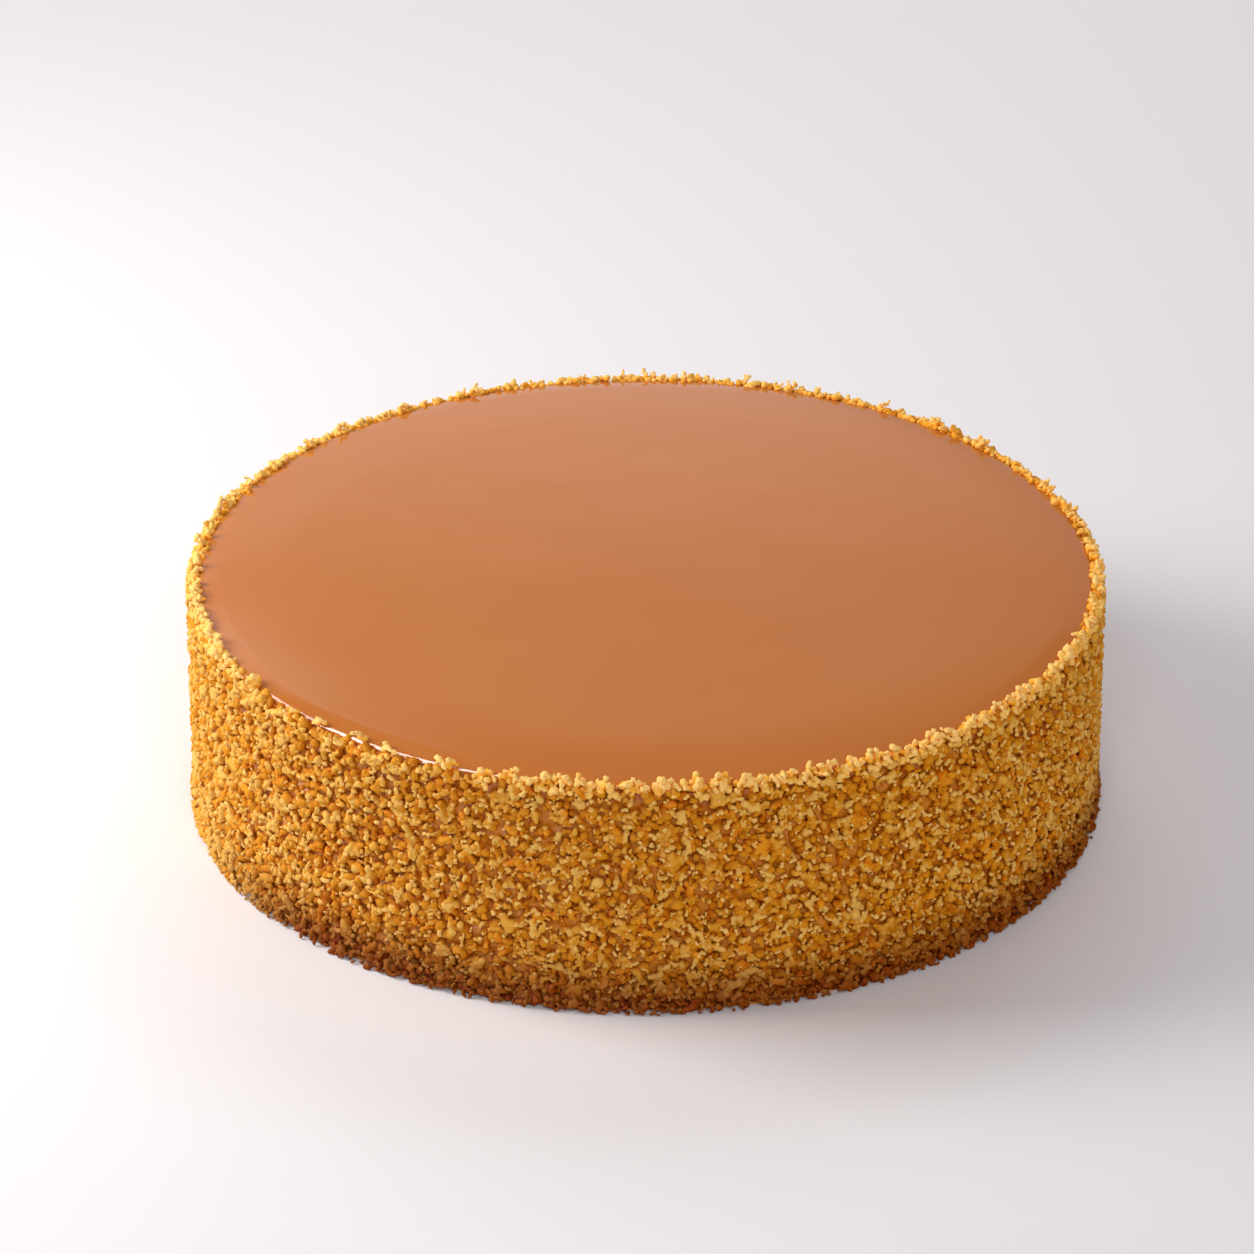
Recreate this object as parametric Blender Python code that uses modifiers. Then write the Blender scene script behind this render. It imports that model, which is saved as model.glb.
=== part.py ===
"""Whole round tres leches cake: a soaked sponge, crumbs all over its side and poured caramel on top.

Units are metres, +Z is up, and the origin is the middle of the flat base that the cake stands on.
"""

import math
import random

import bmesh
import bpy
from mathutils import Euler, Matrix, Vector

# Driving dimensions
CAKE_RADIUS = 0.1106  # outside of the crumb coat, halfway up
GLAZE_RADIUS = 0.1086
GLAZE_TOP = 0.0595  # height of the level caramel above the base
GLAZE_DEPTH = 0.0045  # thickness of the caramel layer
GLAZE_CROWN = 0.0240  # width of the band inside the rim over which the top falls away
GLAZE_SHOULDER = 0.0058  # width of the outer part of that band, which is steeper
CROWN_SLOPE = math.tan(math.radians(2.5))  # how steep it is by the time it gets to that part
SHOULDER_SLOPE = math.tan(math.radians(10))  # how steep it is by the time it rounds over
GLAZE_EDGE = 0.0013  # radius of that rounding
SHOULDER_DROP = 0.0100  # height over which the side draws in to the rim
SHOULDER_INSET = 0.0003
FOOT_HEIGHT = 0.0080  # height over which the side runs out to its foot
FOOT_SPREAD = 0.0020
GAP = 0.0003  # clearance between the caramel and what it lies in

# Crumbs
CRUMB = 0.0044  # usual size of one crumb on the side
RELIEF = 0.0009  # how far those crumbs stand in or out of the coat's mean surface
RIM_CRUMB = 0.0034  # usual size of one crumb on the rim
RIM_SINK = (0.0002, 0.0015)  # range of how deep those are set in the top of the coat
RIM_SPACING = 0.0046  # from one crumb of the rim to the next
CLUSTER_COUNT = 21  # larger crumbs that stand out of the side

# Worked out from those
SEAT_RADIUS = GLAZE_RADIUS + GAP
SEAT_HEIGHT = GLAZE_TOP - GLAZE_DEPTH - GAP
COAT_TOP = GLAZE_TOP - 4 * GAP
COLUMNS = round(math.tau * CAKE_RADIUS / (1.2 * CRUMB))
ROWS = round(COAT_TOP / CRUMB)
EDGE_CENTRE = GLAZE_RADIUS - GLAZE_EDGE
EDGE_TILT = math.atan(SHOULDER_SLOPE)
CROWN_START = GLAZE_RADIUS - GLAZE_CROWN
SHOULDER_START = GLAZE_RADIUS - GLAZE_SHOULDER
FALL_END = EDGE_CENTRE + GLAZE_EDGE * math.sin(EDGE_TILT)
GLAZE_STEPS = 90
CROWN_STEPS = 2
SHOULDER_STEPS = 2
EDGE_STEPS = 3

random.seed(11)


def clear_scene():
    """Removes what the scene starts with."""
    for obj in list(bpy.data.objects):
        bpy.data.objects.remove(obj, do_unlink=True)


def new_collection(name):
    """A collection of that name in the scene."""
    collection = bpy.data.collections.new(name)
    bpy.context.scene.collection.children.link(collection)
    return collection


def food_material(name, colour, roughness):
    """A plain surface for food: its linear colour and how dull it is."""
    material = bpy.data.materials.new(name)
    material.use_nodes = True
    shader = material.node_tree.nodes["Principled BSDF"]
    shader.inputs["Base Color"].default_value = (*colour, 1.0)
    shader.inputs["Roughness"].default_value = roughness
    shader.inputs["Metallic"].default_value = 0.0
    return material


def turned(name, profile, steps, collection):
    """A solid turned about Z from (radius, height) points that run from the top down the outer side."""
    mesh = bpy.data.meshes.new(name)
    points = [(radius, 0.0, height) for radius, height in profile]
    mesh.from_pydata(points, [(i, i + 1) for i in range(len(points) - 1)], [])
    obj = bpy.data.objects.new(name, mesh)
    collection.objects.link(obj)
    screw = obj.modifiers.new("turn", "SCREW")
    screw.axis = "Z"
    screw.steps = steps
    screw.render_steps = steps
    screw.use_merge_vertices = True
    screw.merge_threshold = 0.00005
    apply_modifiers(obj)
    return obj


def apply_modifiers(obj):
    """Makes the object's evaluated shape its own mesh."""
    graph = bpy.context.evaluated_depsgraph_get()
    mesh = bpy.data.meshes.new_from_object(obj.evaluated_get(graph))
    obj.modifiers.clear()
    obj.data = mesh


def side_radius(height):
    """Mean radius of the crumb coat at that height: spread at the foot, upright, drawn in at the shoulder."""
    rise = max(0.0, height - COAT_TOP + SHOULDER_DROP) / SHOULDER_DROP
    sink = max(0.0, FOOT_HEIGHT - height) / FOOT_HEIGHT
    return CAKE_RADIUS - SHOULDER_INSET * rise * rise + FOOT_SPREAD * sink * sink


def cake_profile():
    """Outline of the cake: the seat of the caramel, the ring of crumbs round it, the side, the base."""
    heights = [COAT_TOP * (ROWS - row) / ROWS for row in range(ROWS + 1)]
    side = [(side_radius(height), height) for height in heights]
    inner_ring = [(SEAT_RADIUS, SEAT_HEIGHT), (SEAT_RADIUS, COAT_TOP)]
    return [(0.0, SEAT_HEIGHT), *inner_ring, *side, (0.0, 0.0)]


def fall_height(radius):
    """Height of the top of the caramel at that radius: level, then a crown, then a steeper shoulder."""
    crown_width = SHOULDER_START - CROWN_START
    shoulder_width = FALL_END - SHOULDER_START
    on_crown = min(max(0.0, radius - CROWN_START), crown_width)
    on_shoulder = max(0.0, radius - SHOULDER_START)
    crown_fall = 0.5 * CROWN_SLOPE * on_crown * on_crown / crown_width
    steeper = SHOULDER_SLOPE - CROWN_SLOPE
    shoulder_fall = CROWN_SLOPE * on_shoulder + steeper * on_shoulder**1.5 / (1.5 * shoulder_width**0.5)
    return GLAZE_TOP - crown_fall - shoulder_fall


def edge_centre_height():
    """Height of the middle of the arc that rounds the rim of the caramel."""
    return fall_height(FALL_END) - GLAZE_EDGE * math.cos(EDGE_TILT)


def between(start, end, steps):
    """Evenly spaced values from start up to but without end."""
    return [start + (end - start) * step / steps for step in range(steps)]


def glaze_profile():
    """Outline of the caramel: top that falls away at the rim and rounds over, and a flat underside."""
    crown = between(CROWN_START, SHOULDER_START, CROWN_STEPS)
    shoulder = between(SHOULDER_START, FALL_END, SHOULDER_STEPS)
    fall = [(radius, fall_height(radius)) for radius in crown + shoulder]
    turns = between(math.pi / 2 - EDGE_TILT, 0.0, EDGE_STEPS) + [0.0]
    middle = edge_centre_height()
    edge = [(EDGE_CENTRE + GLAZE_EDGE * math.cos(a), middle + GLAZE_EDGE * math.sin(a)) for a in turns]
    underside = GLAZE_TOP - GLAZE_DEPTH
    return [(0.0, GLAZE_TOP), *fall, *edge, (GLAZE_RADIUS, underside), (0.0, underside)]


def roughen_side(cake):
    """Gives the turned side bumps as large as crumbs: staggers every other row, then moves every point."""
    mesh = bmesh.new()
    mesh.from_mesh(cake.data)
    row_height = COAT_TOP / ROWS
    stagger = Euler((0.0, 0.0, math.pi / COLUMNS))
    side = [v for v in mesh.verts if v.co.xy.length > SEAT_RADIUS + GAP]
    for vertex in side:
        row = round(vertex.co.z / row_height)
        if row % 2:
            vertex.co.rotate(stagger)
        outward = Vector((vertex.co.x, vertex.co.y, 0.0)).normalized()
        vertex.co += outward * random.uniform(-RELIEF, RELIEF)
        if 0 < row < ROWS:
            vertex.co.z += random.uniform(-0.25, 0.25) * row_height
    side_set = set(side)
    side_faces = [face for face in mesh.faces if side_set.issuperset(face.verts)]
    bmesh.ops.triangulate(mesh, faces=side_faces, quad_method="SHORT_EDGE")
    mesh.to_mesh(cake.data)
    mesh.free()


def crumb_mesh(name, size):
    """One crumb: a lump with uneven corners, flattened a little and turned any way."""
    mesh = bmesh.new()
    bmesh.ops.create_icosphere(mesh, subdivisions=1, radius=size / 2)
    for vertex in mesh.verts:
        vertex.co *= random.uniform(0.8, 1.15)
    turn = Euler([random.uniform(0.0, math.tau) for _ in range(3)]).to_matrix().to_4x4()
    stretch = Matrix.Diagonal((1.0, random.uniform(0.75, 1.0), random.uniform(0.7, 0.95), 1.0))
    mesh.transform(turn @ stretch)
    data = bpy.data.meshes.new(name)
    mesh.to_mesh(data)
    mesh.free()
    return data


def place_crumb(data, angle, radius, height, collection):
    """Puts a crumb at that place round the cake."""
    crumb = bpy.data.objects.new(data.name, data)
    crumb.location = (radius * math.cos(angle), radius * math.sin(angle), height)
    collection.objects.link(crumb)
    return crumb


def clear_of_glaze(crumb):
    """Whether every corner of the crumb keeps the gap from the top and the rounded rim of the caramel."""
    centre_height = edge_centre_height()
    for vertex in crumb.data.vertices:
        corner = crumb.location + vertex.co
        radius = corner.xy.length
        if radius < FALL_END:
            clear = corner.z > fall_height(radius) + GAP
        else:
            upward = max(0.0, corner.z - centre_height)
            clear = math.hypot(radius - EDGE_CENTRE, upward) > GLAZE_EDGE + GAP
        if not clear:
            return False
    return True


def add_rim_crumbs(collection):
    """The crumbs along the rim, which stand up past the caramel by different amounts beside its edge."""
    count = round(math.tau * SEAT_RADIUS / RIM_SPACING)
    for i in range(count):
        angle = math.tau * (i + random.uniform(-0.25, 0.25)) / count
        data = crumb_mesh(f"rim_crumb_{i:03d}", RIM_CRUMB * random.uniform(0.8, 1.25))
        lowest = min(vertex.co.z for vertex in data.vertices)
        height = COAT_TOP - random.uniform(*RIM_SINK) - lowest
        crumb = place_crumb(data, angle, SEAT_RADIUS, height, collection)
        while not clear_of_glaze(crumb):
            crumb.location += Vector((math.cos(angle), math.sin(angle), 0.0)) * GAP / 2


def add_clusters(collection):
    """Larger crumbs spread evenly over the side, along a spiral with the golden angle."""
    golden_angle = math.pi * (3 - math.sqrt(5))
    for i in range(CLUSTER_COUNT):
        height = CRUMB + (COAT_TOP - 3 * CRUMB) * (i + 0.5) / CLUSTER_COUNT
        size = CRUMB * random.uniform(1.0, 1.2)
        data = crumb_mesh(f"side_crumb_{i:03d}", size)
        place_crumb(data, golden_angle * i, side_radius(height) - 0.25 * size, height, collection)


def fuse(body, collection):
    """Joins everything in the collection to the body, and removes the loose pieces."""
    union = body.modifiers.new("fuse", "BOOLEAN")
    union.operation = "UNION"
    union.operand_type = "COLLECTION"
    union.collection = collection
    union.solver = "EXACT"
    apply_modifiers(body)
    for obj in list(collection.objects):
        bpy.data.objects.remove(obj, do_unlink=True)
    bpy.data.collections.remove(collection)
    keep_outer_shell(body)


def keep_outer_shell(body):
    """Keeps the shell that the lowest corner belongs to: fills sealed hollows and drops loose scraps."""
    mesh = bmesh.new()
    mesh.from_mesh(body.data)
    frontier = [min(mesh.verts, key=lambda v: v.co.z)]
    outer = set(frontier)
    while frontier:
        vertex = frontier.pop()
        for edge in vertex.link_edges:
            other = edge.other_vert(vertex)
            if other not in outer:
                outer.add(other)
                frontier.append(other)
    bmesh.ops.delete(mesh, geom=[v for v in mesh.verts if v not in outer], context="VERTS")
    mesh.to_mesh(body.data)
    mesh.free()


def build_cake(collection):
    """The sponge with its crumbed side, as one solid with a shallow seat for the caramel."""
    cake = turned("crumbed_cake", cake_profile(), COLUMNS, collection)
    roughen_side(cake)
    crumbs = new_collection("separate_crumbs")
    add_rim_crumbs(crumbs)
    add_clusters(crumbs)
    fuse(cake, crumbs)
    cake.data.materials.clear()
    cake.data.materials.append(food_material("toasted_crumb", (0.52, 0.25, 0.05), 0.85))
    return cake


def build_glaze(collection):
    """The caramel layer, level on top."""
    glaze = turned("caramel_glaze", glaze_profile(), GLAZE_STEPS, collection)
    glaze.data.shade_smooth()
    glaze.data.set_sharp_from_angle(angle=math.radians(40))
    glaze.data.materials.append(food_material("set_caramel", (0.54, 0.20, 0.07), 0.2))
    return glaze


clear_scene()
cake_parts = new_collection("tres_leches_cake")
build_cake(cake_parts)
build_glaze(cake_parts)
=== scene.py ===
import math
import random

import bpy
import numpy as np
from mathutils import Euler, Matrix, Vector


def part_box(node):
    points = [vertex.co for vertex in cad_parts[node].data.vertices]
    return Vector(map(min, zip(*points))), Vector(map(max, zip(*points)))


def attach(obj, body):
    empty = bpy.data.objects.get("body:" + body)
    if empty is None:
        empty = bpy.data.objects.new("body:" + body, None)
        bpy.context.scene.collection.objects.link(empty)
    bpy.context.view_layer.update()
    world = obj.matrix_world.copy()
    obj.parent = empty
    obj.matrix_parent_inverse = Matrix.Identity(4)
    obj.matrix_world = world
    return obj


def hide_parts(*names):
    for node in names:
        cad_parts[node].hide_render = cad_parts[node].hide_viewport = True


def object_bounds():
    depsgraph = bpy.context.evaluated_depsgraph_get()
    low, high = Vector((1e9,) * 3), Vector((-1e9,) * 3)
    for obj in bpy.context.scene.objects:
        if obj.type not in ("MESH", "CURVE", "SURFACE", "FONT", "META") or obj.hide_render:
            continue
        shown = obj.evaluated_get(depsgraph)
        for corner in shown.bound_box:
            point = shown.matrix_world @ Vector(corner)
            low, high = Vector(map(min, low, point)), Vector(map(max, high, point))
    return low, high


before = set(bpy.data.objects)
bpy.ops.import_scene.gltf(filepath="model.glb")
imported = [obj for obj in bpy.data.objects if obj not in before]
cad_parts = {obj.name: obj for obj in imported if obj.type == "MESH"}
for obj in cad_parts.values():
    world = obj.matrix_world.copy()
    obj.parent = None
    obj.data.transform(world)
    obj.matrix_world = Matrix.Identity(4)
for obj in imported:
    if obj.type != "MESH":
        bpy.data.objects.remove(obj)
cad_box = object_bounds()


# ---------------------------------------------------------------------------
# Camera
# A long lens on a tripod, 1.3 m in front of the cake and 0.72 m above the table. It looks down at
# the cake's middle and is turned a touch to the left.

LENS_MM = 172.4
SENSOR_MM = 36.0
CAMERA_BACK = 1.2971
CAMERA_UP = 0.7172
LOOK_DOWN = math.radians(27.47)
LOOK_LEFT = math.radians(0.2)

bpy.ops.object.camera_add(
    location=(0.0, -CAMERA_BACK, CAMERA_UP),
    rotation=(math.pi / 2 - LOOK_DOWN, 0.0, LOOK_LEFT),
)
camera = bpy.context.object
camera.name = "camera"
camera.data.lens = LENS_MM
camera.data.sensor_width = SENSOR_MM
bpy.context.scene.camera = camera
bpy.context.scene.view_settings.view_transform = "Standard"


# ---------------------------------------------------------------------------
# Table top and studio light
# A pale laminate table top, in a pale room with white cards behind the cake and at the front right,
# which the glaze mirrors. Softboxes stand at the left and over the camera, one behind lights the
# table alone, and a tall one at the left only gives the rim its shine.

TABLE_SIZE = 12.0
TABLE_COLOUR = "E9E6EA"
CARD_COLOUR = "FBF7F6"
CAKE_MIDDLE = (0.0, 0.0, 0.04)
TABLE_BACK = (0.1, 0.55, 0.0)
# Each softbox: its place, what it is aimed at, width and height in metres, watts and colour.
KEY_LIGHT = ((-0.60, 0.05, 0.40), CAKE_MIDDLE, 0.4, 0.4, 5.15, "FDFCF6")
FRONT_LIGHT = ((0.1, -1.3, 1.1), CAKE_MIDDLE, 0.8, 0.5, 8.35, "FFFFFF")
TABLE_LIGHT = ((0.15, 1.0, 1.0), TABLE_BACK, 1.0, 0.6, 5.4, "FFFFFF")
RIM_LIGHT = ((-0.72, -0.32, 0.62), CAKE_MIDDLE, 0.6, 1.1, 44.0, "FFF8F4")
# The room's own light, and what its wall and cards add: a strength, then an edge a line, with the
# axis of the direction looked in, where the edge starts and ends, and the shares before and after.
ROOM_LIGHT = 0.17
PALE_WALL = (0.30, ("Z", 0.4617, 0.5373, 1.0, 0.0))
BACK_CARD = (
    0.68,
    ("Z", 0.4289, 0.4586, 1.0, 0.0),
    ("Y", -0.1, 0.3, 0.0, 1.0),
    ("X", -0.15, 0.0, 0.45, 1.0),
    ("X", 0.0, 0.11, 1.0, 0.1),
)
LEFT_GLOW = (
    0.95,
    ("Z", 0.4509, 0.5, 0.0, 1.0),
    ("Z", 0.5519, 0.6088, 1.0, 0.0),
    ("Y", 0.0, 0.3, 0.0, 1.0),
    ("X", -0.135, -0.0225, 1.0, 0.0),
    ("X", -0.45, -0.3, 0.0, 1.0),
)
FRONT_CARD = (
    0.59,
    ("Z", 0.3907, 0.4924, 1.0, 0.0),
    ("Y", -0.3, 0.6, 1.0, 0.0),
    ("X", -0.15, 0.25, 0.0, 1.0),
)


def hex_to_linear(code):
    """The linear red, green and blue of an sRGB hex colour."""
    channels = [int(code[i:i + 2], 16) / 255 for i in (0, 2, 4)]
    return [c / 12.92 if c <= 0.04045 else ((c + 0.055) / 1.055) ** 2.4 for c in channels]


def add_node(tree, kind, links=(), **settings):
    """Adds a node. settings: its properties and inputs. links: (its input, other node, output)."""
    node = tree.nodes.new(kind)
    for key, value in settings.items():
        if hasattr(node, key):
            setattr(node, key, value)
            continue
        socket = next(s for s in node.inputs if s.enabled and s.name.replace(" ", "_") == key)
        socket.default_value = (*hex_to_linear(value), 1.0) if isinstance(value, str) else value
    for own, other, output in links:
        source = next(s for s in other.outputs if s.enabled and s.name == output)
        if isinstance(own, str):
            own = next(i for i, s in enumerate(node.inputs) if s.enabled and s.name == own)
        tree.links.new(source, node.inputs[own])
    return node


def new_material(name):
    """A new material and its node tree, still empty."""
    material = bpy.data.materials.new(name)
    material.use_nodes = True
    material.node_tree.nodes.clear()
    return material, material.node_tree


def soft_light(name, place, target, width, height, watts, colour):
    """A softbox at that place, turned to the target."""
    bpy.ops.object.light_add(type="AREA", location=place)
    light = bpy.context.object
    light.name = name
    light.rotation_euler = (Vector(target) - Vector(place)).to_track_quat("-Z", "Y").to_euler()
    light.data.shape = "RECTANGLE"
    light.data.size = width
    light.data.size_y = height
    light.data.energy = watts
    light.data.color = hex_to_linear(colour)
    light.visible_camera = False
    return light


bpy.ops.mesh.primitive_plane_add(size=TABLE_SIZE, location=(0.0, 0.0, 0.0))
table = bpy.context.object
table.name = "table_top"
# Laminate: even, pale and without any shine, so that it only carries the cake's soft shadow.
material, tree = new_material("pale_laminate")
shader = add_node(
    tree,
    "ShaderNodeBsdfPrincipled",
    Base_Color=TABLE_COLOUR,
    Roughness=0.9,
    Specular_IOR_Level=0.0,
)
add_node(tree, "ShaderNodeOutputMaterial", [("Surface", shader, "BSDF")])
table.data.materials.append(material)

# The room: dim overhead, pale low down, and brighter where the cards hang.
world = bpy.data.worlds.new("carded_room")
world.use_nodes = True
tree = world.node_tree
tree.nodes.clear()
direction = add_node(tree, "ShaderNodeTexCoord")
axes = add_node(tree, "ShaderNodeSeparateXYZ", [("Vector", direction, "Generated")])
strength = add_node(tree, "ShaderNodeValue")
strength.outputs[0].default_value = ROOM_LIGHT
for glow, *ramps in (PALE_WALL, BACK_CARD, LEFT_GLOW, FRONT_CARD):
    share = add_node(tree, "ShaderNodeValue")
    share.outputs[0].default_value = glow
    for axis, start, end, before, after in ramps:
        ramp = add_node(
            tree,
            "ShaderNodeMapRange",
            [("Value", axes, axis)],
            interpolation_type="SMOOTHSTEP",
            From_Min=start,
            From_Max=end,
            To_Min=before,
            To_Max=after,
        )
        factors = [(0, share, "Value"), (1, ramp, "Result")]
        share = add_node(tree, "ShaderNodeMath", factors, operation="MULTIPLY")
    parts = [(0, strength, "Value"), (1, share, "Value")]
    strength = add_node(tree, "ShaderNodeMath", parts, operation="ADD")
sky = add_node(tree, "ShaderNodeBackground", [("Strength", strength, "Value")], Color=CARD_COLOUR)
add_node(tree, "ShaderNodeOutputWorld", [("Surface", sky, "Background")])
bpy.context.scene.world = world

soft_light("key_light", *KEY_LIGHT)
soft_light("front_light", *FRONT_LIGHT)
soft_light("table_light", *TABLE_LIGHT).visible_glossy = False
soft_light("rim_light", *RIM_LIGHT).visible_diffuse = False


# ---------------------------------------------------------------------------
# Caramel glaze
# Milk caramel poured over the cake while warm. It set level and smooth, with a gloss, and falls
# away softly towards its rounded rim, where crumbs stick to it. Its profile is extruded in rings.

GLAZE_CROWN = 0.0240  # width of the soft fall inside the rim, with the shoulder
GLAZE_SHOULDER = 0.0058  # width of the steeper fall next to the rim, with the rounded edge
CROWN_SLOPE = math.tan(math.radians(2.5))
SHOULDER_SLOPE = math.tan(math.radians(10))
GLAZE_EDGE = 0.0013  # radius of the rounded edge
GLAZE_CREASE = math.radians(50)
GLAZE_SIDES = 360
CROWN_STEPS = 18
SHOULDER_STEPS = 12
EDGE_STEPS = 8
LEVEL_RINGS = 10
GLAZE_COLOURS = ("B66828", "BE7034")
MOTTLE_SCALE = 11.0
RIPPLE_SCALE = 60.0
RIPPLE_DEPTH = 0.0002
SAME_PLACE = 0.0001  # points closer than this count as level with each other
glaze_low, glaze_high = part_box("caramel_glaze")
GLAZE_RADIUS = glaze_high.x
GLAZE_TOP = glaze_high.z
EDGE_CENTRE = GLAZE_RADIUS - GLAZE_EDGE
EDGE_TILT = math.atan(SHOULDER_SLOPE)
CROWN_START = GLAZE_RADIUS - GLAZE_CROWN
SHOULDER_START = GLAZE_RADIUS - GLAZE_SHOULDER
SHOULDER_END = EDGE_CENTRE + GLAZE_EDGE * math.sin(EDGE_TILT)


def deselect_all():
    """Leaves no object selected, as the loaded nodes are."""
    bpy.ops.object.select_all(action="DESELECT")


def select_faces(obj, wanted):
    """In edit mode, selects only the faces for which wanted(face) holds."""
    bpy.ops.mesh.select_all(action="DESELECT")
    bpy.ops.object.mode_set(mode="OBJECT")
    for face in obj.data.polygons:
        face.select = wanted(face)
    bpy.ops.object.mode_set(mode="EDIT")


def fall_height(radius):
    """Height of the glaze's top at that radius: level, then a crown, then a steeper shoulder."""
    crown_width = SHOULDER_START - CROWN_START
    shoulder_width = SHOULDER_END - SHOULDER_START
    on_crown = min(max(0.0, radius - CROWN_START), crown_width)
    on_shoulder = max(0.0, radius - SHOULDER_START)
    crown_fall = 0.5 * CROWN_SLOPE * on_crown * on_crown / crown_width
    steeper = SHOULDER_SLOPE - CROWN_SLOPE
    shoulder_fall = CROWN_SLOPE * on_shoulder
    shoulder_fall += steeper * on_shoulder**1.5 / (1.5 * shoulder_width**0.5)
    return GLAZE_TOP - crown_fall - shoulder_fall


def glaze_rings():
    """Radius and height of each ring of the glaze outside its level part, out and then down."""
    width = SHOULDER_START - CROWN_START
    crown = [CROWN_START + width * (i + 1) / CROWN_STEPS for i in range(CROWN_STEPS)]
    width = SHOULDER_END - SHOULDER_START
    shoulder = [SHOULDER_START + width * (i + 1) / SHOULDER_STEPS for i in range(SHOULDER_STEPS)]
    rings = [(radius, fall_height(radius)) for radius in crown + shoulder]
    centre_height = fall_height(SHOULDER_END) - GLAZE_EDGE * math.cos(EDGE_TILT)
    for step in range(1, EDGE_STEPS + 1):
        turn = (math.pi / 2 - EDGE_TILT) * (1 - step / EDGE_STEPS)
        radius = EDGE_CENTRE + GLAZE_EDGE * math.cos(turn)
        rings.append((radius, centre_height + GLAZE_EDGE * math.sin(turn)))
    return [*rings, (GLAZE_RADIUS, glaze_low.z)]


deselect_all()
bpy.ops.mesh.primitive_circle_add(
    vertices=GLAZE_SIDES,
    radius=CROWN_START,
    fill_type="NGON",
    location=(0.0, 0.0, GLAZE_TOP),
)
glaze = bpy.context.object
glaze.name = "poured_caramel"
bpy.ops.object.transform_apply()
bpy.ops.object.mode_set(mode="EDIT")
bpy.ops.mesh.select_mode(type="EDGE")
bpy.ops.mesh.select_all(action="SELECT")
last_radius, last_height = CROWN_START, GLAZE_TOP
for radius, height in glaze_rings():
    if last_radius == CROWN_START:
        bpy.ops.mesh.region_to_loop()
    drop = (0.0, 0.0, height - last_height)
    bpy.ops.mesh.extrude_region_move(TRANSFORM_OT_translate={"value": drop})
    growth = radius / last_radius
    bpy.ops.transform.resize(value=(growth, growth, 1.0), center_override=(0.0, 0.0, 0.0))
    last_radius, last_height = radius, height
bpy.ops.mesh.edge_face_add()
bpy.ops.mesh.select_mode(type="FACE")
# The level disc is divided into rings, and then the flat underside into wedges.
select_faces(glaze, lambda face: len(face.vertices) > 4 and face.center.z > GLAZE_TOP - SAME_PLACE)
for ring in range(LEVEL_RINGS - 1):
    bpy.ops.mesh.inset(thickness=CROWN_START / LEVEL_RINGS)
bpy.ops.mesh.poke()
select_faces(glaze, lambda face: len(face.vertices) > 4)
bpy.ops.mesh.poke()
bpy.ops.mesh.select_all(action="SELECT")
bpy.ops.mesh.normals_make_consistent(inside=False)
bpy.ops.object.mode_set(mode="OBJECT")
bpy.ops.object.shade_smooth_by_angle(angle=GLAZE_CREASE)

# Milk caramel: an even orange-brown in very faint clouds, with a gloss that mirrors the room.
material, tree = new_material("milk_caramel_glaze")
place = add_node(tree, "ShaderNodeTexCoord")
stretch = add_node(
    tree,
    "ShaderNodeMapping",
    [("Vector", place, "Object")],
    Rotation=(0.0, 0.0, 0.5),
    Scale=(1.0, 1.6, 1.0),
)
mottle = add_node(
    tree,
    "ShaderNodeTexNoise",
    [("Vector", stretch, "Vector")],
    Scale=MOTTLE_SCALE,
    Detail=2.0,
)
colour = add_node(
    tree,
    "ShaderNodeMix",
    [("Factor", mottle, "Fac")],
    data_type="RGBA",
    A=GLAZE_COLOURS[0],
    B=GLAZE_COLOURS[1],
)
gloss = add_node(
    tree,
    "ShaderNodeMapRange",
    [("Value", mottle, "Fac")],
    From_Min=0.3,
    From_Max=0.7,
    To_Min=0.05,
    To_Max=0.09,
)
ripple = add_node(
    tree,
    "ShaderNodeTexNoise",
    [("Vector", place, "Object")],
    Scale=RIPPLE_SCALE,
    Detail=1.0,
)
bump = add_node(
    tree,
    "ShaderNodeBump",
    [("Height", ripple, "Fac")],
    Strength=0.15,
    Distance=RIPPLE_DEPTH,
)
shader = add_node(
    tree,
    "ShaderNodeBsdfPrincipled",
    [("Base Color", colour, "Result"), ("Roughness", gloss, "Result"), ("Normal", bump, "Normal")],
    IOR=1.45,
)
add_node(tree, "ShaderNodeOutputMaterial", [("Surface", shader, "BSDF")])
glaze.data.materials.append(material)
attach(glaze, "root")
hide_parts("caramel_glaze")


# ---------------------------------------------------------------------------
# Sponge and the ground of the crumb coat
# Milk-soaked sponge whose side is spread with caramel. Crumbs hide most of it, and a little more
# shows near the rim, where the glaze ran over the edge. It is made as a cylinder with a seat for
# the glaze, and lumps are pushed into its side.

GROUND_RADIUS = 0.1092
GROUND_TOP = GLAZE_TOP - 0.0024
GROUND_SIDES = 900
GROUND_ROWS = 76
GROUND_GRAIN = 0.0024  # size of a lump
GROUND_RELIEF = 0.0014
GROUND_CREASE = math.radians(60)
SEAT_GAP = 0.0002  # free room around the glaze
SEAT_DEPTH = GROUND_TOP - glaze_low.z + 0.0003
CAKE_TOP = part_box("crumbed_cake")[1].z  # the highest crumb
SPONGE_COLOURS = ("B06008", "D8880E")
DRIP_COLOUR = "B4601C"
SOAK_SCALE = 320.0
SOAK_DEPTH = 0.0006
DRIP_SCALE = 120.0
DRIP_REACH = 0.0080  # how far down the glaze ran at most
DRIP_FADE = 0.002

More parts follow.
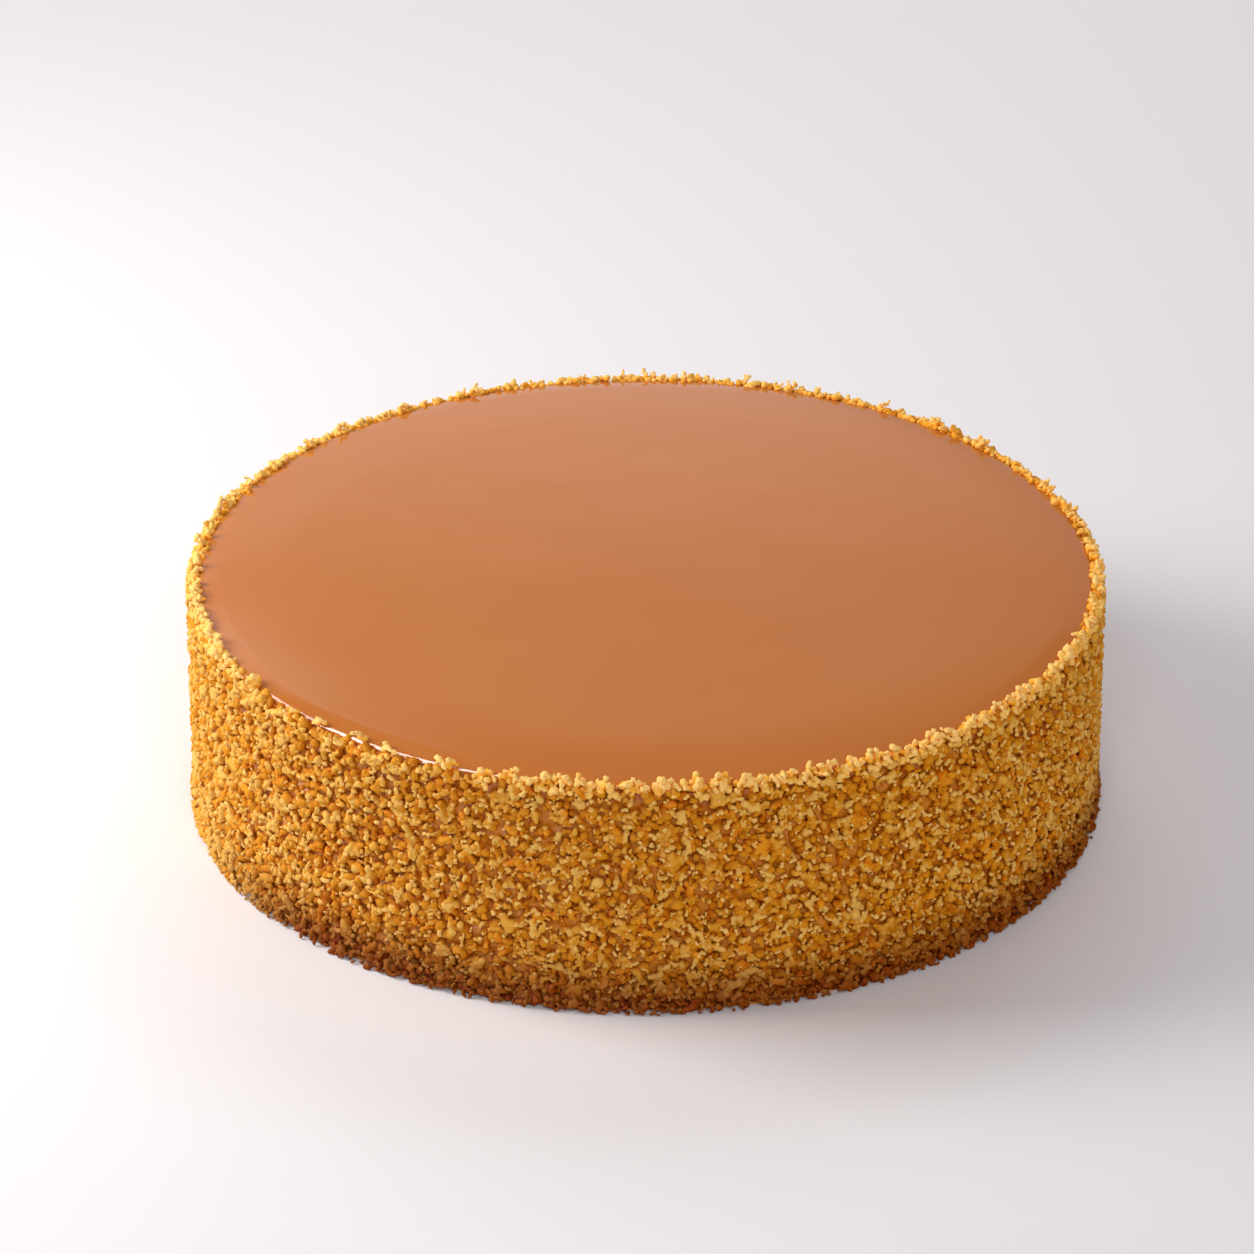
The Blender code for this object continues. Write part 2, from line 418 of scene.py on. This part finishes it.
deselect_all()
bpy.ops.mesh.primitive_cylinder_add(
    vertices=GROUND_SIDES,
    radius=GROUND_RADIUS,
    depth=GROUND_TOP,
    location=(0.0, 0.0, GROUND_TOP / 2),
)
ground = bpy.context.object
ground.name = "caramel_spread_side"
bpy.ops.object.transform_apply()
bpy.ops.object.mode_set(mode="EDIT")
bpy.ops.mesh.select_mode(type="FACE")
select_faces(ground, lambda face: face.normal.z > 0.9)
bpy.ops.mesh.inset(thickness=GROUND_RADIUS - GLAZE_RADIUS - SEAT_GAP)
bpy.ops.mesh.extrude_region_move(TRANSFORM_OT_translate={"value": (0.0, 0.0, -SEAT_DEPTH)})
bpy.ops.mesh.poke()
# Only the side's upright edges are as long as the cylinder is high. They are cut into rows.
bpy.ops.mesh.select_mode(type="EDGE")
bpy.ops.mesh.select_all(action="DESELECT")
bpy.ops.object.mode_set(mode="OBJECT")
for edge in ground.data.edges:
    ends = [ground.data.vertices[v].co for v in edge.vertices]
    edge.select = abs(ends[0].z - ends[1].z) > 0.9 * GROUND_TOP
bpy.ops.object.mode_set(mode="EDIT")
bpy.ops.mesh.subdivide(number_cuts=GROUND_ROWS)
bpy.ops.object.mode_set(mode="OBJECT")
grains = bpy.data.textures.new("ground_grains", type="VORONOI")
grains.noise_scale = GROUND_GRAIN
side_group = ground.vertex_groups.new(name="side")
side = [
    v.index
    for v in ground.data.vertices
    if v.co.xy.length > GROUND_RADIUS - SAME_PLACE and SAME_PLACE < v.co.z < GROUND_TOP - SAME_PLACE
]
side_group.add(side, 1.0, "REPLACE")
displace = ground.modifiers.new("lumps", "DISPLACE")
displace.texture = grains
displace.texture_coords = "LOCAL"
displace.vertex_group = "side"
displace.strength = -GROUND_RELIEF
displace.mid_level = 0.5
bpy.ops.object.modifier_apply(modifier="lumps")
ground.vertex_groups.clear()
bpy.ops.object.shade_smooth_by_angle(angle=GROUND_CREASE)

# Sponge soaked with caramel: amber, mottled, damp and pitted, and shining where the glaze ran.
material, tree = new_material("caramel_soaked_sponge")
place = add_node(tree, "ShaderNodeTexCoord")
soak = add_node(
    tree,
    "ShaderNodeTexNoise",
    [("Vector", place, "Object")],
    Scale=SOAK_SCALE,
    Detail=3.0,
)
sponge = add_node(
    tree,
    "ShaderNodeMix",
    [("Factor", soak, "Fac")],
    data_type="RGBA",
    A=SPONGE_COLOURS[0],
    B=SPONGE_COLOURS[1],
)
height = add_node(tree, "ShaderNodeSeparateXYZ", [("Vector", place, "Object")])
run = add_node(
    tree,
    "ShaderNodeTexNoise",
    [("Vector", place, "Object")],
    Scale=DRIP_SCALE,
    Detail=2.0,
)
parts = [(0, run, "Fac"), (2, height, "Z")]
drip = add_node(tree, "ShaderNodeMath", parts, operation="MULTIPLY_ADD")
drip.inputs[1].default_value = DRIP_REACH
glazed = add_node(
    tree,
    "ShaderNodeMapRange",
    [("Value", drip, "Value")],
    interpolation_type="SMOOTHSTEP",
    From_Min=GLAZE_TOP - DRIP_FADE,
    From_Max=GLAZE_TOP,
)
colour = add_node(
    tree,
    "ShaderNodeMix",
    [("Factor", glazed, "Result"), ("A", sponge, "Result")],
    data_type="RGBA",
    B=DRIP_COLOUR,
)
gloss = add_node(
    tree,
    "ShaderNodeMapRange",
    [("Value", glazed, "Result")],
    To_Min=0.55,
    To_Max=0.22,
)
bump = add_node(
    tree,
    "ShaderNodeBump",
    [("Height", soak, "Fac")],
    Strength=0.7,
    Distance=SOAK_DEPTH,
)
shader = add_node(
    tree,
    "ShaderNodeBsdfPrincipled",
    [("Base Color", colour, "Result"), ("Roughness", gloss, "Result"), ("Normal", bump, "Normal")],
    Specular_IOR_Level=0.4,
)
add_node(tree, "ShaderNodeOutputMaterial", [("Surface", shader, "BSDF")])
ground.data.materials.append(material)
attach(ground, "root")
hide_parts("crumbed_cake")


# ---------------------------------------------------------------------------
# Under crumbs
# Toasted cake crumbs, rubbed coarse and pressed on by hand. Each is a knobbly lump of a few grains,
# whose shape is kneaded from balls, merged, thinned and then strewn many times. This first layer is
# of small crumbs that lie deepest and drank the caramel, coloured darker partly as painted shade in
# the gaps.

random.seed(4)
dice = np.random.default_rng(4)
GRAIN = 0.00070  # radius of a grain
FIRST_GRAIN = (0.85, 1.2)
NEXT_GRAIN = (0.65, 1.15)
GRAIN_OVERLAP = (0.75, 0.97)
GRAIN_LIFT = 0.5  # how far a grain may sit above or below its neighbour, in radians
GRAIN_STRETCH = (1.2, 0.95)
GRAIN_THICKNESS = (0.65, 0.9)
SMALL_GRAINS = (1, 2, 2, 3)  # how many grains a crumb of that kind may have
LARGE_GRAINS = (4, 5, 6, 7, 9, 12)
CLUMP_GRAINS = (13, 16, 18, 22)
SMALL_RISE = 0.7  # how much its grains pile up, less for a flatter crumb
LARGE_RISE = 0.6
CLUMP_RISE = 0.4
SMALL_SHAPES = 12  # how many shapes of that kind are kneaded
LARGE_SHAPES = 24
CLUMP_SHAPES = 12
KNEAD_VOXEL = 0.00015
FACES_PER_GRAIN = 14
SPARE_FACES = 6
ROW_PITCH = 0.87  # rows stand closer than the crumbs in a row, as in a honeycomb
JITTER = 0.45
CLEARANCE = 0.0001  # the crumbs keep this clear of the table and of the CAD's own box
WALL_LIMIT = 0.1115  # how far out a crumb may reach, higher up and at the foot
FOOT_LIMIT = min(-cad_box[0].x, -cad_box[0].y, cad_box[1].x, cad_box[1].y) - CLEARANCE
FOOT_RISE = 0.0028  # height over which the coat draws in from its foot
COAT_DEEP = GROUND_RADIUS
COAT_OUTER = 0.1109
COAT_TOP = GLAZE_TOP - 0.0020
RIM_HIGH = GLAZE_TOP + 0.0010
TOP_TURN = 0.0015  # height over which a crumb's dry side, paler as painted light, turns from outward to upward
TOP_PULL = 2.0
TIP_SHARE = 0.5
BACK_LEFT = (-0.707, 0.707, 0.0)
PAINTED_LIGHT_START = -0.004  # distances towards the back left between which painted light makes the crumbs paler
PAINTED_LIGHT_END = 0.058
SIDE_PAINTED_LIGHT = 0.48
RIM_PAINTED_LIGHT = 0.12
DRYNESS_AND_SHADE_SHARE = 0.85
CURVE_SHADE_SHARE = 1.20
TINT_SHARE = 0.30
BLOTCH_SHARE = 0.80
SUM_OFFSET = 1.17  # taken off the sum, so that an average crumb falls in the middle of its colours
RAMP_PLACES = (0.3, 0.65)
BLOTCH_SCALE = 480.0
GRIT_SCALE = 1100.0
GRIT_DEPTH = 0.0005
WET_AND_SHADE_HEIGHT = 0.018
WET_AND_SHADE_COLOUR = "A06C2C"


def knead_crumb(grains, rise):
    """Models one crumb of so many grains round the origin, and gives its corners and triangles."""
    centres = [Vector((0.0, 0.0, 0.0))]
    radii = [GRAIN * random.uniform(*FIRST_GRAIN)]
    for grain in range(grains - 1):
        beside = random.randrange(len(centres))
        radius = GRAIN * random.uniform(*NEXT_GRAIN)
        turn = random.uniform(0.0, math.tau)
        lift = random.uniform(-GRAIN_LIFT, GRAIN_LIFT)
        level = math.cos(lift)
        step = Vector((math.cos(turn) * level, math.sin(turn) * level, math.sin(lift) * rise))
        apart = step * (radii[beside] + radius) * random.uniform(*GRAIN_OVERLAP)
        centres.append(centres[beside] + apart)
        radii.append(radius)
    deselect_all()
    balls = []
    for centre, radius in zip(centres, radii):
        bpy.ops.mesh.primitive_ico_sphere_add(
            subdivisions=3,
            radius=radius,
            location=centre,
            rotation=[random.uniform(0.0, math.tau) for axis in range(3)],
            scale=(*GRAIN_STRETCH, random.uniform(*GRAIN_THICKNESS)),
        )
        balls.append(bpy.context.object)
    for ball in balls:
        ball.select_set(True)
    bpy.context.view_layer.objects.active = balls[0]
    if grains > 1:
        bpy.ops.object.join()
    crumb = bpy.context.object
    bpy.ops.object.transform_apply()
    merge = crumb.modifiers.new("merge", "REMESH")
    merge.mode = "VOXEL"
    merge.voxel_size = KNEAD_VOXEL
    bpy.ops.object.modifier_apply(modifier="merge")
    thin = crumb.modifiers.new("thin", "DECIMATE")
    thin.ratio = (FACES_PER_GRAIN * grains + SPARE_FACES) / (2 * len(crumb.data.polygons))
    bpy.ops.object.modifier_apply(modifier="thin")
    crumb.data.calc_loop_triangles()
    corners = np.array([v.co[:] for v in crumb.data.vertices])
    triangles = np.array([t.vertices[:] for t in crumb.data.loop_triangles])
    corners -= corners.mean(0)
    bpy.data.objects.remove(crumb, do_unlink=True)
    return corners, triangles


def spread(spacing, top):
    """Angles and heights of an even but irregular strewing over the side, up to that top."""
    rows = max(1, round(top / (spacing * ROW_PITCH)))
    columns = round(math.tau * GROUND_RADIUS / spacing)
    row, column = np.mgrid[0:rows, 0:columns]
    around = (column + 0.5 * (row % 2) + dice.uniform(-JITTER, JITTER, row.shape)) / columns
    up = (row + 0.5 + dice.uniform(-JITTER, JITTER, row.shape)) / rows
    return (around * math.tau).ravel(), (up * top).ravel()


def strew(name, shapes, places, depths, sizes, lean):
    """Joins many crumbs into one mesh: each is a shape turned at random, flat on the cake.

    places: angles and heights. depths: radius of each crumb's middle. lean: how far one may tip, in
    radians. Each corner notes how dry it is, from 0 deep in the coat, where it is soaked and
    coloured darker as painted shade, to 1 at a tip that stands out, coloured paler as painted
    light, and the tint of its crumb.
    """
    angles, heights = places
    count = len(angles)
    which = dice.integers(0, len(shapes), count)
    spin = dice.uniform(0.0, math.tau, count)
    tips = dice.normal(0.0, lean, (count, 2))
    tints = dice.random(count)
    corner_parts, triangle_parts, dryness_and_shade_parts, tint_parts = [], [], [], []
    start = 0
    for i in range(count):
        corners, triangles = shapes[which[i]]
        out = np.array((math.cos(angles[i]), math.sin(angles[i]), 0.0))
        along = np.array((-out[1], out[0], 0.0))
        tipped = Euler((tips[i][0], tips[i][1], 0.0)).to_matrix()
        turn = tipped @ Euler((0.0, 0.0, spin[i])).to_matrix()
        axes = np.array([along, (0.0, 0.0, 1.0), out])
        placed = corners @ np.array(turn).T @ axes * sizes[i]
        placed = placed + out * depths[i] + (0.0, 0.0, heights[i])
        spill = math.exp(-max(0.0, heights[i]) / FOOT_RISE)
        limit = WALL_LIMIT + (FOOT_LIMIT - WALL_LIMIT) * spill
        placed -= out * max(0.0, np.hypot(placed[:, 0], placed[:, 1]).max() - limit)
        placed[:, 2] -= max(0.0, placed[:, 2].max() - CAKE_TOP + CLEARANCE)
        placed[:, 2] += max(0.0, CLEARANCE - placed[:, 2].min())
        # Deep in the coat is darker, partly as soaked crumbs and partly as painted shade; the
        # outward and upward tips are paler as painted light.
        outward = (np.hypot(placed[:, 0], placed[:, 1]) - COAT_DEEP) / (COAT_OUTER - COAT_DEEP)
        upward = (placed[:, 2] - COAT_TOP) / (RIM_HIGH - COAT_TOP)
        on_top = min(1.0, max(0.0, (heights[i] - COAT_TOP) / TOP_TURN))
        reach = placed @ (out + np.array((0.0, 0.0, TOP_PULL * on_top)))
        tip = (reach - reach.min()) / (reach.max() - reach.min())
        stands_out = np.clip(np.maximum(outward, upward), 0.0, 1.0)
        dryness_and_shade_parts.append((1.0 - TIP_SHARE) * stands_out + TIP_SHARE * tip)
        corner_parts.append(placed)
        triangle_parts.append(triangles + start)
        tint_parts.append(np.full(len(corners), tints[i]))
        start += len(corners)
    mesh = bpy.data.meshes.new(name)
    mesh.from_pydata(np.concatenate(corner_parts), [], np.concatenate(triangle_parts))
    for label, parts in (("dryness_and_shade", dryness_and_shade_parts), ("tint", tint_parts)):
        attribute = mesh.attributes.new(label, "FLOAT", "POINT")
        attribute.data.foreach_set("value", np.concatenate(parts))
    mesh.shade_smooth()
    obj = bpy.data.objects.new(name, mesh)
    bpy.context.scene.collection.objects.link(obj)
    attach(obj, "root")
    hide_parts("crumbed_cake")
    return obj


def crumb_material(name, colours, shift, painted_light=SIDE_PAINTED_LIGHT):
    """Toasted crumb, matt and gritty. Its colours go from where it drank caramel and lies in
    painted shade to its dry tips with painted light.

    Dryness with its painted shade and light, painted shade in the creases and painted light on the
    bulges of its shape, its own tint and small blotches add up to a place among the colours. shift
    moves all of it towards dry, and the back-left share moves only the back left, the side the
    lamps light, which is made paler as painted light.
    """
    material, tree = new_material(name)
    place = add_node(tree, "ShaderNodeTexCoord")
    dryness_and_shade = add_node(tree, "ShaderNodeAttribute", attribute_name="dryness_and_shade")
    tint = add_node(tree, "ShaderNodeAttribute", attribute_name="tint")
    # Painted shade in the creases between grains and painted light on their bulges.
    curve_shade = add_node(tree, "ShaderNodeNewGeometry")
    blotch = add_node(
        tree,
        "ShaderNodeTexNoise",
        [("Vector", place, "Object")],
        Scale=BLOTCH_SCALE,
        Detail=3.0,
    )
    # Painted light: the crumbs are made paler towards the back left, the side the lamps light.
    back_left = add_node(
        tree,
        "ShaderNodeVectorMath",
        [(0, place, "Object")],
        operation="DOT_PRODUCT",
    )
    back_left.inputs[1].default_value = BACK_LEFT
    painted_light_side = add_node(
        tree,
        "ShaderNodeMapRange",
        [("Value", back_left, "Value")],
        interpolation_type="SMOOTHSTEP",
        From_Min=PAINTED_LIGHT_START,
        From_Max=PAINTED_LIGHT_END,
    )
    total = add_node(tree, "ShaderNodeValue")
    total.outputs[0].default_value = shift - SUM_OFFSET
    for source, output, share in (
        (dryness_and_shade, "Fac", DRYNESS_AND_SHADE_SHARE),
        (curve_shade, "Pointiness", CURVE_SHADE_SHARE),
        (tint, "Fac", TINT_SHARE),
        (blotch, "Fac", BLOTCH_SHARE),
        (painted_light_side, "Result", painted_light),
    ):
        parts = [(0, source, output), (2, total, "Value")]
        total = add_node(tree, "ShaderNodeMath", parts, operation="MULTIPLY_ADD")
        total.inputs[1].default_value = share
    ramp = add_node(tree, "ShaderNodeValToRGB", [("Fac", total, "Value")])
    stops = ramp.color_ramp.elements
    for place_on_ramp in RAMP_PLACES:
        stops.new(place_on_ramp)
    for stop, code in zip(stops, colours):
        stop.color = (*hex_to_linear(code), 1.0)
    # Darker towards the foot: partly milk and caramel gathered there, partly painted shade where
    # the cake meets the table. It is left out at the back left, the side the lamps light.
    axes = add_node(tree, "ShaderNodeSeparateXYZ", [("Vector", place, "Object")])
    foot = add_node(
        tree,
        "ShaderNodeMapRange",
        [("Value", axes, "Z")],
        interpolation_type="SMOOTHSTEP",
        From_Max=WET_AND_SHADE_HEIGHT,
        To_Min=1.0,
        To_Max=0.0,
    )
    away = add_node(tree, "ShaderNodeMath", [(1, painted_light_side, "Result")], operation="SUBTRACT")
    away.inputs[0].default_value = 1.0
    factors = [(0, foot, "Result"), (1, away, "Value")]
    wet_and_shade = add_node(tree, "ShaderNodeMath", factors, operation="MULTIPLY")
    soaked_and_shaded = add_node(
        tree,
        "ShaderNodeMix",
        [("Factor", wet_and_shade, "Value"), ("A", ramp, "Color")],
        data_type="RGBA",
        blend_type="MULTIPLY",
        B=WET_AND_SHADE_COLOUR,
    )
    grit = add_node(
        tree,
        "ShaderNodeTexNoise",
        [("Vector", place, "Object")],
        Scale=GRIT_SCALE,
        Detail=3.0,
        Roughness=0.6,
    )
    bump = add_node(
        tree,
        "ShaderNodeBump",
        [("Height", grit, "Fac")],
        Strength=0.8,
        Distance=GRIT_DEPTH,
    )
    shader = add_node(
        tree,
        "ShaderNodeBsdfPrincipled",
        [("Base Color", soaked_and_shaded, "Result"), ("Normal", bump, "Normal")],
        Roughness=0.8,
        Specular_IOR_Level=0.08,
    )
    add_node(tree, "ShaderNodeOutputMaterial", [("Surface", shader, "BSDF")])
    return material


# The shapes for this layer and for all the others on the side.
small_shapes = [knead_crumb(random.choice(SMALL_GRAINS), SMALL_RISE) for i in range(SMALL_SHAPES)]
large_shapes = [knead_crumb(random.choice(LARGE_GRAINS), LARGE_RISE) for i in range(LARGE_SHAPES)]
clump_shapes = [knead_crumb(random.choice(CLUMP_GRAINS), CLUMP_RISE) for i in range(CLUMP_SHAPES)]

UNDER_SPACING = 0.0030
UNDER_RADIUS = 0.1093
UNDER_SCATTER = 0.0002
UNDER_SIZES = (1.4, 2.1)
UNDER_LEAN = 0.6
places = spread(UNDER_SPACING, COAT_TOP)
count = len(places[0])
under = strew(
    "under_crumbs",
    small_shapes,
    places,
    dice.normal(UNDER_RADIUS, UNDER_SCATTER, count),
    dice.uniform(*UNDER_SIZES, count),
    UNDER_LEAN,
)
# Dark amber with hardly a dry tip: partly soaked through, partly painted shade, which gives the
# coat its depth in the gaps.
under.data.materials.append(
    crumb_material("caramel_soaked_crumb", ("843600", "AA5002", "BE6A04", "D28814"), shift=0.05)
)


# ---------------------------------------------------------------------------
# Clumped crumbs
# Here and there many grains stuck together in a flat clump. The clumps are the largest crumbs of
# all and lie flat in the coat, among the others.

CLUMP_SPACING = 0.0095
CLUMP_RADIUS = 0.1100
CLUMP_SCATTER = 0.0002
CLUMP_SIZES = (0.7, 1.1)
CLUMP_LEAN = 0.15
places = spread(CLUMP_SPACING, COAT_TOP)
count = len(places[0])
clumps = strew(
    "clumped_crumbs",
    clump_shapes,
    places,
    dice.normal(CLUMP_RADIUS, CLUMP_SCATTER, count),
    dice.uniform(*CLUMP_SIZES, count),
    CLUMP_LEAN,
)
# Golden with pale knobs, partly painted light on their bulges, so that a clump reads as one lump of
# many grains.
clumps.data.materials.append(
    crumb_material("clumped_toasted_crumb", ("903E00", "B86404", "CC820E", "E4B052"), shift=0.08)
)


# ---------------------------------------------------------------------------
# Larger crumbs
# The crumbs that make the coat's look: branched, and uneven in size. They toasted unevenly, so
# they are strewn as one layer and parted by chance into pale, golden and amber ones.

LARGE_SPACING = 0.0038
LARGE_RADIUS = 0.1101
LARGE_SCATTER = 0.0003
LARGE_SPREAD = 0.28  # of the logarithm of their sizes
LARGE_SIZES = (0.6, 1.6)
LARGE_LEAN = 0.5
FOOT_SPILL = 0.0022  # how far the crumbs spill outwards at the foot
# Each kind: its piece and the range of chance that gives it, then its material, the colours and the
# shift towards dry. The pale crumbs stand out, the golden ones are the body of the coat, and the
# amber ones warm it in spots.
KINDS = (
    (
        ("pale_crumbs", 0.0, 0.45),
        ("pale_toasted_crumb", ("903E00", "B66404", "CC820E", "E4B054"), 0.12),
    ),
    (
        ("golden_crumbs", 0.45, 0.80),
        ("golden_toasted_crumb", ("8E3C00", "B66202", "CC800C", "E0A23A"), 0.08),
    ),
    (
        ("amber_crumbs", 0.80, 1.01),
        ("amber_toasted_crumb", ("8E3A00", "BA5C02", "D27406", "E0921C"), 0.04),
    ),
)
angles, heights = spread(LARGE_SPACING, COAT_TOP)
spill = FOOT_SPILL * np.exp(-heights / FOOT_RISE)
chance = dice.random(len(angles))
for (name, lowest, highest), finish in KINDS:
    chosen = (chance >= lowest) & (chance < highest)
    count = chosen.sum()
    large = strew(
        name,
        large_shapes,
        (angles[chosen], heights[chosen]),
        dice.normal(LARGE_RADIUS, LARGE_SCATTER, count) + spill[chosen],
        np.clip(np.exp(dice.normal(0.0, LARGE_SPREAD, count)), *LARGE_SIZES),
        LARGE_LEAN,
    )
    large.data.materials.append(crumb_material(*finish))


# ---------------------------------------------------------------------------
# Fine crumbs
# One to three grains each, about a millimetre across, that lie outermost on the larger crumbs and
# in the gaps between them.

FINE_SPACING = 0.0031
FINE_RADIUS = 0.1103
FINE_SCATTER = 0.0003
FINE_SIZES = (0.45, 1.05)
FINE_LEAN = 0.5
places = spread(FINE_SPACING, COAT_TOP)
count = len(places[0])
fine = strew(
    "fine_crumbs",
    small_shapes,
    places,
    dice.normal(FINE_RADIUS, FINE_SCATTER, count) + FOOT_SPILL * np.exp(-places[1] / FOOT_RISE),
    dice.uniform(*FINE_SIZES, count),
    FINE_LEAN,
)
# Driest of the side's crumbs: cream-coloured specks that catch the light.
fine.data.materials.append(
    crumb_material("fine_toasted_crumb", ("924200", "BC6804", "D48C18", "EEBE66"), shift=0.14)
)


# ---------------------------------------------------------------------------
# Foot crumbs
# Smaller crumbs fell down the side and gathered along the foot, lying any way up. They close the
# coat against the table and make its lower edge uneven.

FOOT_SPACING = 0.0020
FOOT_TOP = 0.0020
FOOT_RADII = (0.1104, 0.1120)
FOOT_SIZES = (0.4, 0.7)
FOOT_LEAN = 0.9
places = spread(FOOT_SPACING, FOOT_TOP)
count = len(places[0])
foot_crumbs = strew(
    "foot_crumbs",
    large_shapes,
    places,
    dice.uniform(*FOOT_RADII, count),
    dice.uniform(*FOOT_SIZES, count),
    FOOT_LEAN,
)
# Brown and dull at the foot: partly soaked, partly painted shade, a dark line where the cake meets
# the table.
foot_crumbs.data.materials.append(
    crumb_material("soaked_foot_crumb", ("8E3C00", "B46202", "CA800C", "DEA638"), shift=0.06)
)


# ---------------------------------------------------------------------------
# Top of the coat
# Small crumbs close the coat just under the edge of the glaze and lean on it. There are fewer at
# the front, where larger ones cling to that edge. At the front left they sit lower, and the edge is
# almost bare.

BARE_MIDDLE = math.radians(-128)
BARE_HALF = math.radians(16)
BARE_FADE = math.radians(8)
BARE_DROP = 0.0012  # how much lower the crumbs sit on the bare stretch
TOP_SPACING = 0.0020
TOP_ROWS = 3
TOP_THINNING = 0.5
TOP_BARING = 0.4
TOP_INSIDE = 0.1084
TOP_OUTSIDE = 0.1105
TOP_SINK = 0.0011
TOP_SLOPE = 0.0013
TOP_SCATTER = 0.0003
TOP_SIZES = (1.0, 1.6)
TOP_PAINTED_LIGHT = 0.16
RIM_LEAN = 1.2


def rim_places(spacing, rows):
    """Angles of an irregular strewing along the rim, and how bare and how far in front each is."""
    count = round(math.tau * GLAZE_RADIUS / spacing)
    steps = np.arange(rows * count) / rows + dice.uniform(-JITTER, JITTER, rows * count)
    angles = math.tau * steps / count
    from_bare = np.abs((angles - BARE_MIDDLE + math.pi) % math.tau - math.pi)
    bareness = np.clip((BARE_HALF + BARE_FADE - from_bare) / BARE_FADE, 0.0, 1.0)
    return angles, bareness, 0.5 - 0.5 * np.sin(angles)


angles, bareness, frontness = rim_places(TOP_SPACING, TOP_ROWS)
kept = dice.random(len(angles)) < 1.0 - TOP_THINNING * frontness
angles, bareness = angles[kept], bareness[kept]
count = len(angles)
outside = dice.random(count)
depths = TOP_INSIDE + (TOP_OUTSIDE - TOP_INSIDE) * np.maximum(outside, TOP_BARING * bareness)
heights = GLAZE_TOP - TOP_SINK - TOP_SLOPE * outside
heights = heights + dice.normal(0.0, TOP_SCATTER, count) - BARE_DROP * bareness
coat_top = strew(
    "coat_top_crumbs",
    small_shapes,
    (angles, heights),
    depths,
    dice.uniform(*TOP_SIZES, count),
    RIM_LEAN,
)
# Dry and lit from above: warm gold to cream, the ground of the bright line round the glaze.
coat_top.data.materials.append(
    crumb_material(
        "coat_top_crumb",
        ("AC5A04", "D4840C", "EEA22A", "F8C464"),
        shift=0.15,
        painted_light=TOP_PAINTED_LIGHT,
    )
)


# ---------------------------------------------------------------------------
# Rim crumbs
# Branched crumbs that cling to the edge of the glaze in small groups, lean any way and stand up
# past it. They are larger and closer together at the front than at the back.

RIM_SPACING = 0.0019
RIM_TURNS = (17, 29, 43, 67)  # waves round the rim that group the crumbs
RIM_KEPT = 0.75
RIM_KEPT_FRONT = 0.15
RIM_GROUPING = 0.4
RIM_BARING = 0.65
RIM_SINK = 0.0010
RIM_GROUP_LIFT = 0.0007
RIM_FRONT_LIFT = 0.0004
RIM_SCATTER = 0.0003
RIM_RADII = (0.1084, 0.1101)
RIM_SIZES = (0.55, 0.90)
RIM_FRONT_GROWTH = 0.42
RIM_GRAINS = (4, 5, 6, 7, 9)
RIM_RISE = 1.6
RIM_SHAPES = 20
rim_shapes = [knead_crumb(random.choice(RIM_GRAINS), RIM_RISE) for i in range(RIM_SHAPES)]
angles, bareness, frontness = rim_places(RIM_SPACING, 1)
waves = [np.cos(turns * angles + dice.uniform(0.0, math.tau)) for turns in RIM_TURNS]
grouping = sum(waves) / len(RIM_TURNS)
likely = RIM_KEPT + RIM_KEPT_FRONT * frontness + RIM_GROUPING * grouping - RIM_BARING * bareness
kept = dice.random(len(angles)) < likely
angles, bareness = angles[kept], bareness[kept]
grouping, frontness = grouping[kept], frontness[kept]
count = len(angles)
lift = RIM_GROUP_LIFT * grouping + RIM_FRONT_LIFT * (frontness - 0.5)
lift = lift + dice.normal(0.0, RIM_SCATTER, count) - BARE_DROP * bareness
rim = strew(
    "rim_crumbs",
    rim_shapes,
    (angles, GLAZE_TOP - RIM_SINK + lift),
    dice.uniform(*RIM_RADII, count),
    dice.uniform(*RIM_SIZES, count) + RIM_FRONT_GROWTH * frontness,
    RIM_LEAN,
)
# Bright gold with cream tips, light against the brown glaze: dry crumbs, made brighter still as
# painted light for the light that shines through them from behind.
rim.data.materials.append(
    crumb_material(
        "rim_toasted_crumb",
        ("BC6A04", "E8940E", "FCB236", "FECA74"),
        shift=0.16,
        painted_light=RIM_PAINTED_LIGHT,
    )
)


# ---------------------------------------------------------------------------
# Perched crumbs
# A few more of the same crumbs, each perched by itself on top of the others. They make the rim's
# outline ragged against the glaze and the background.

PERCHED_SPACING = 0.0042
PERCHED_KEPT = 0.35
PERCHED_KEPT_FRONT = 0.40
PERCHED_BARING = 0.30
PERCHED_LIFTS = (-0.0006, 0.0008)
PERCHED_RADII = (0.1084, 0.1098)
PERCHED_SIZES = (0.52, 0.85)
angles, bareness, frontness = rim_places(PERCHED_SPACING, 1)
likely = PERCHED_KEPT + PERCHED_KEPT_FRONT * frontness - PERCHED_BARING * bareness
kept = dice.random(len(angles)) < likely
angles, frontness = angles[kept], frontness[kept]
count = len(angles)
perched = strew(
    "perched_crumbs",
    rim_shapes,
    (angles, GLAZE_TOP + dice.uniform(*PERCHED_LIFTS, count)),
    dice.uniform(*PERCHED_RADII, count),
    dice.uniform(*PERCHED_SIZES, count) + RIM_FRONT_GROWTH * frontness,
    RIM_LEAN,
)
# As the rim's crumbs, with the same painted light, and a shade brighter, so that each one shows by
# itself.
perched.data.materials.append(
    crumb_material(
        "perched_toasted_crumb",
        ("BE6C04", "EA960E", "FCB436", "FECC76"),
        shift=0.16,
        painted_light=RIM_PAINTED_LIGHT,
    )
)
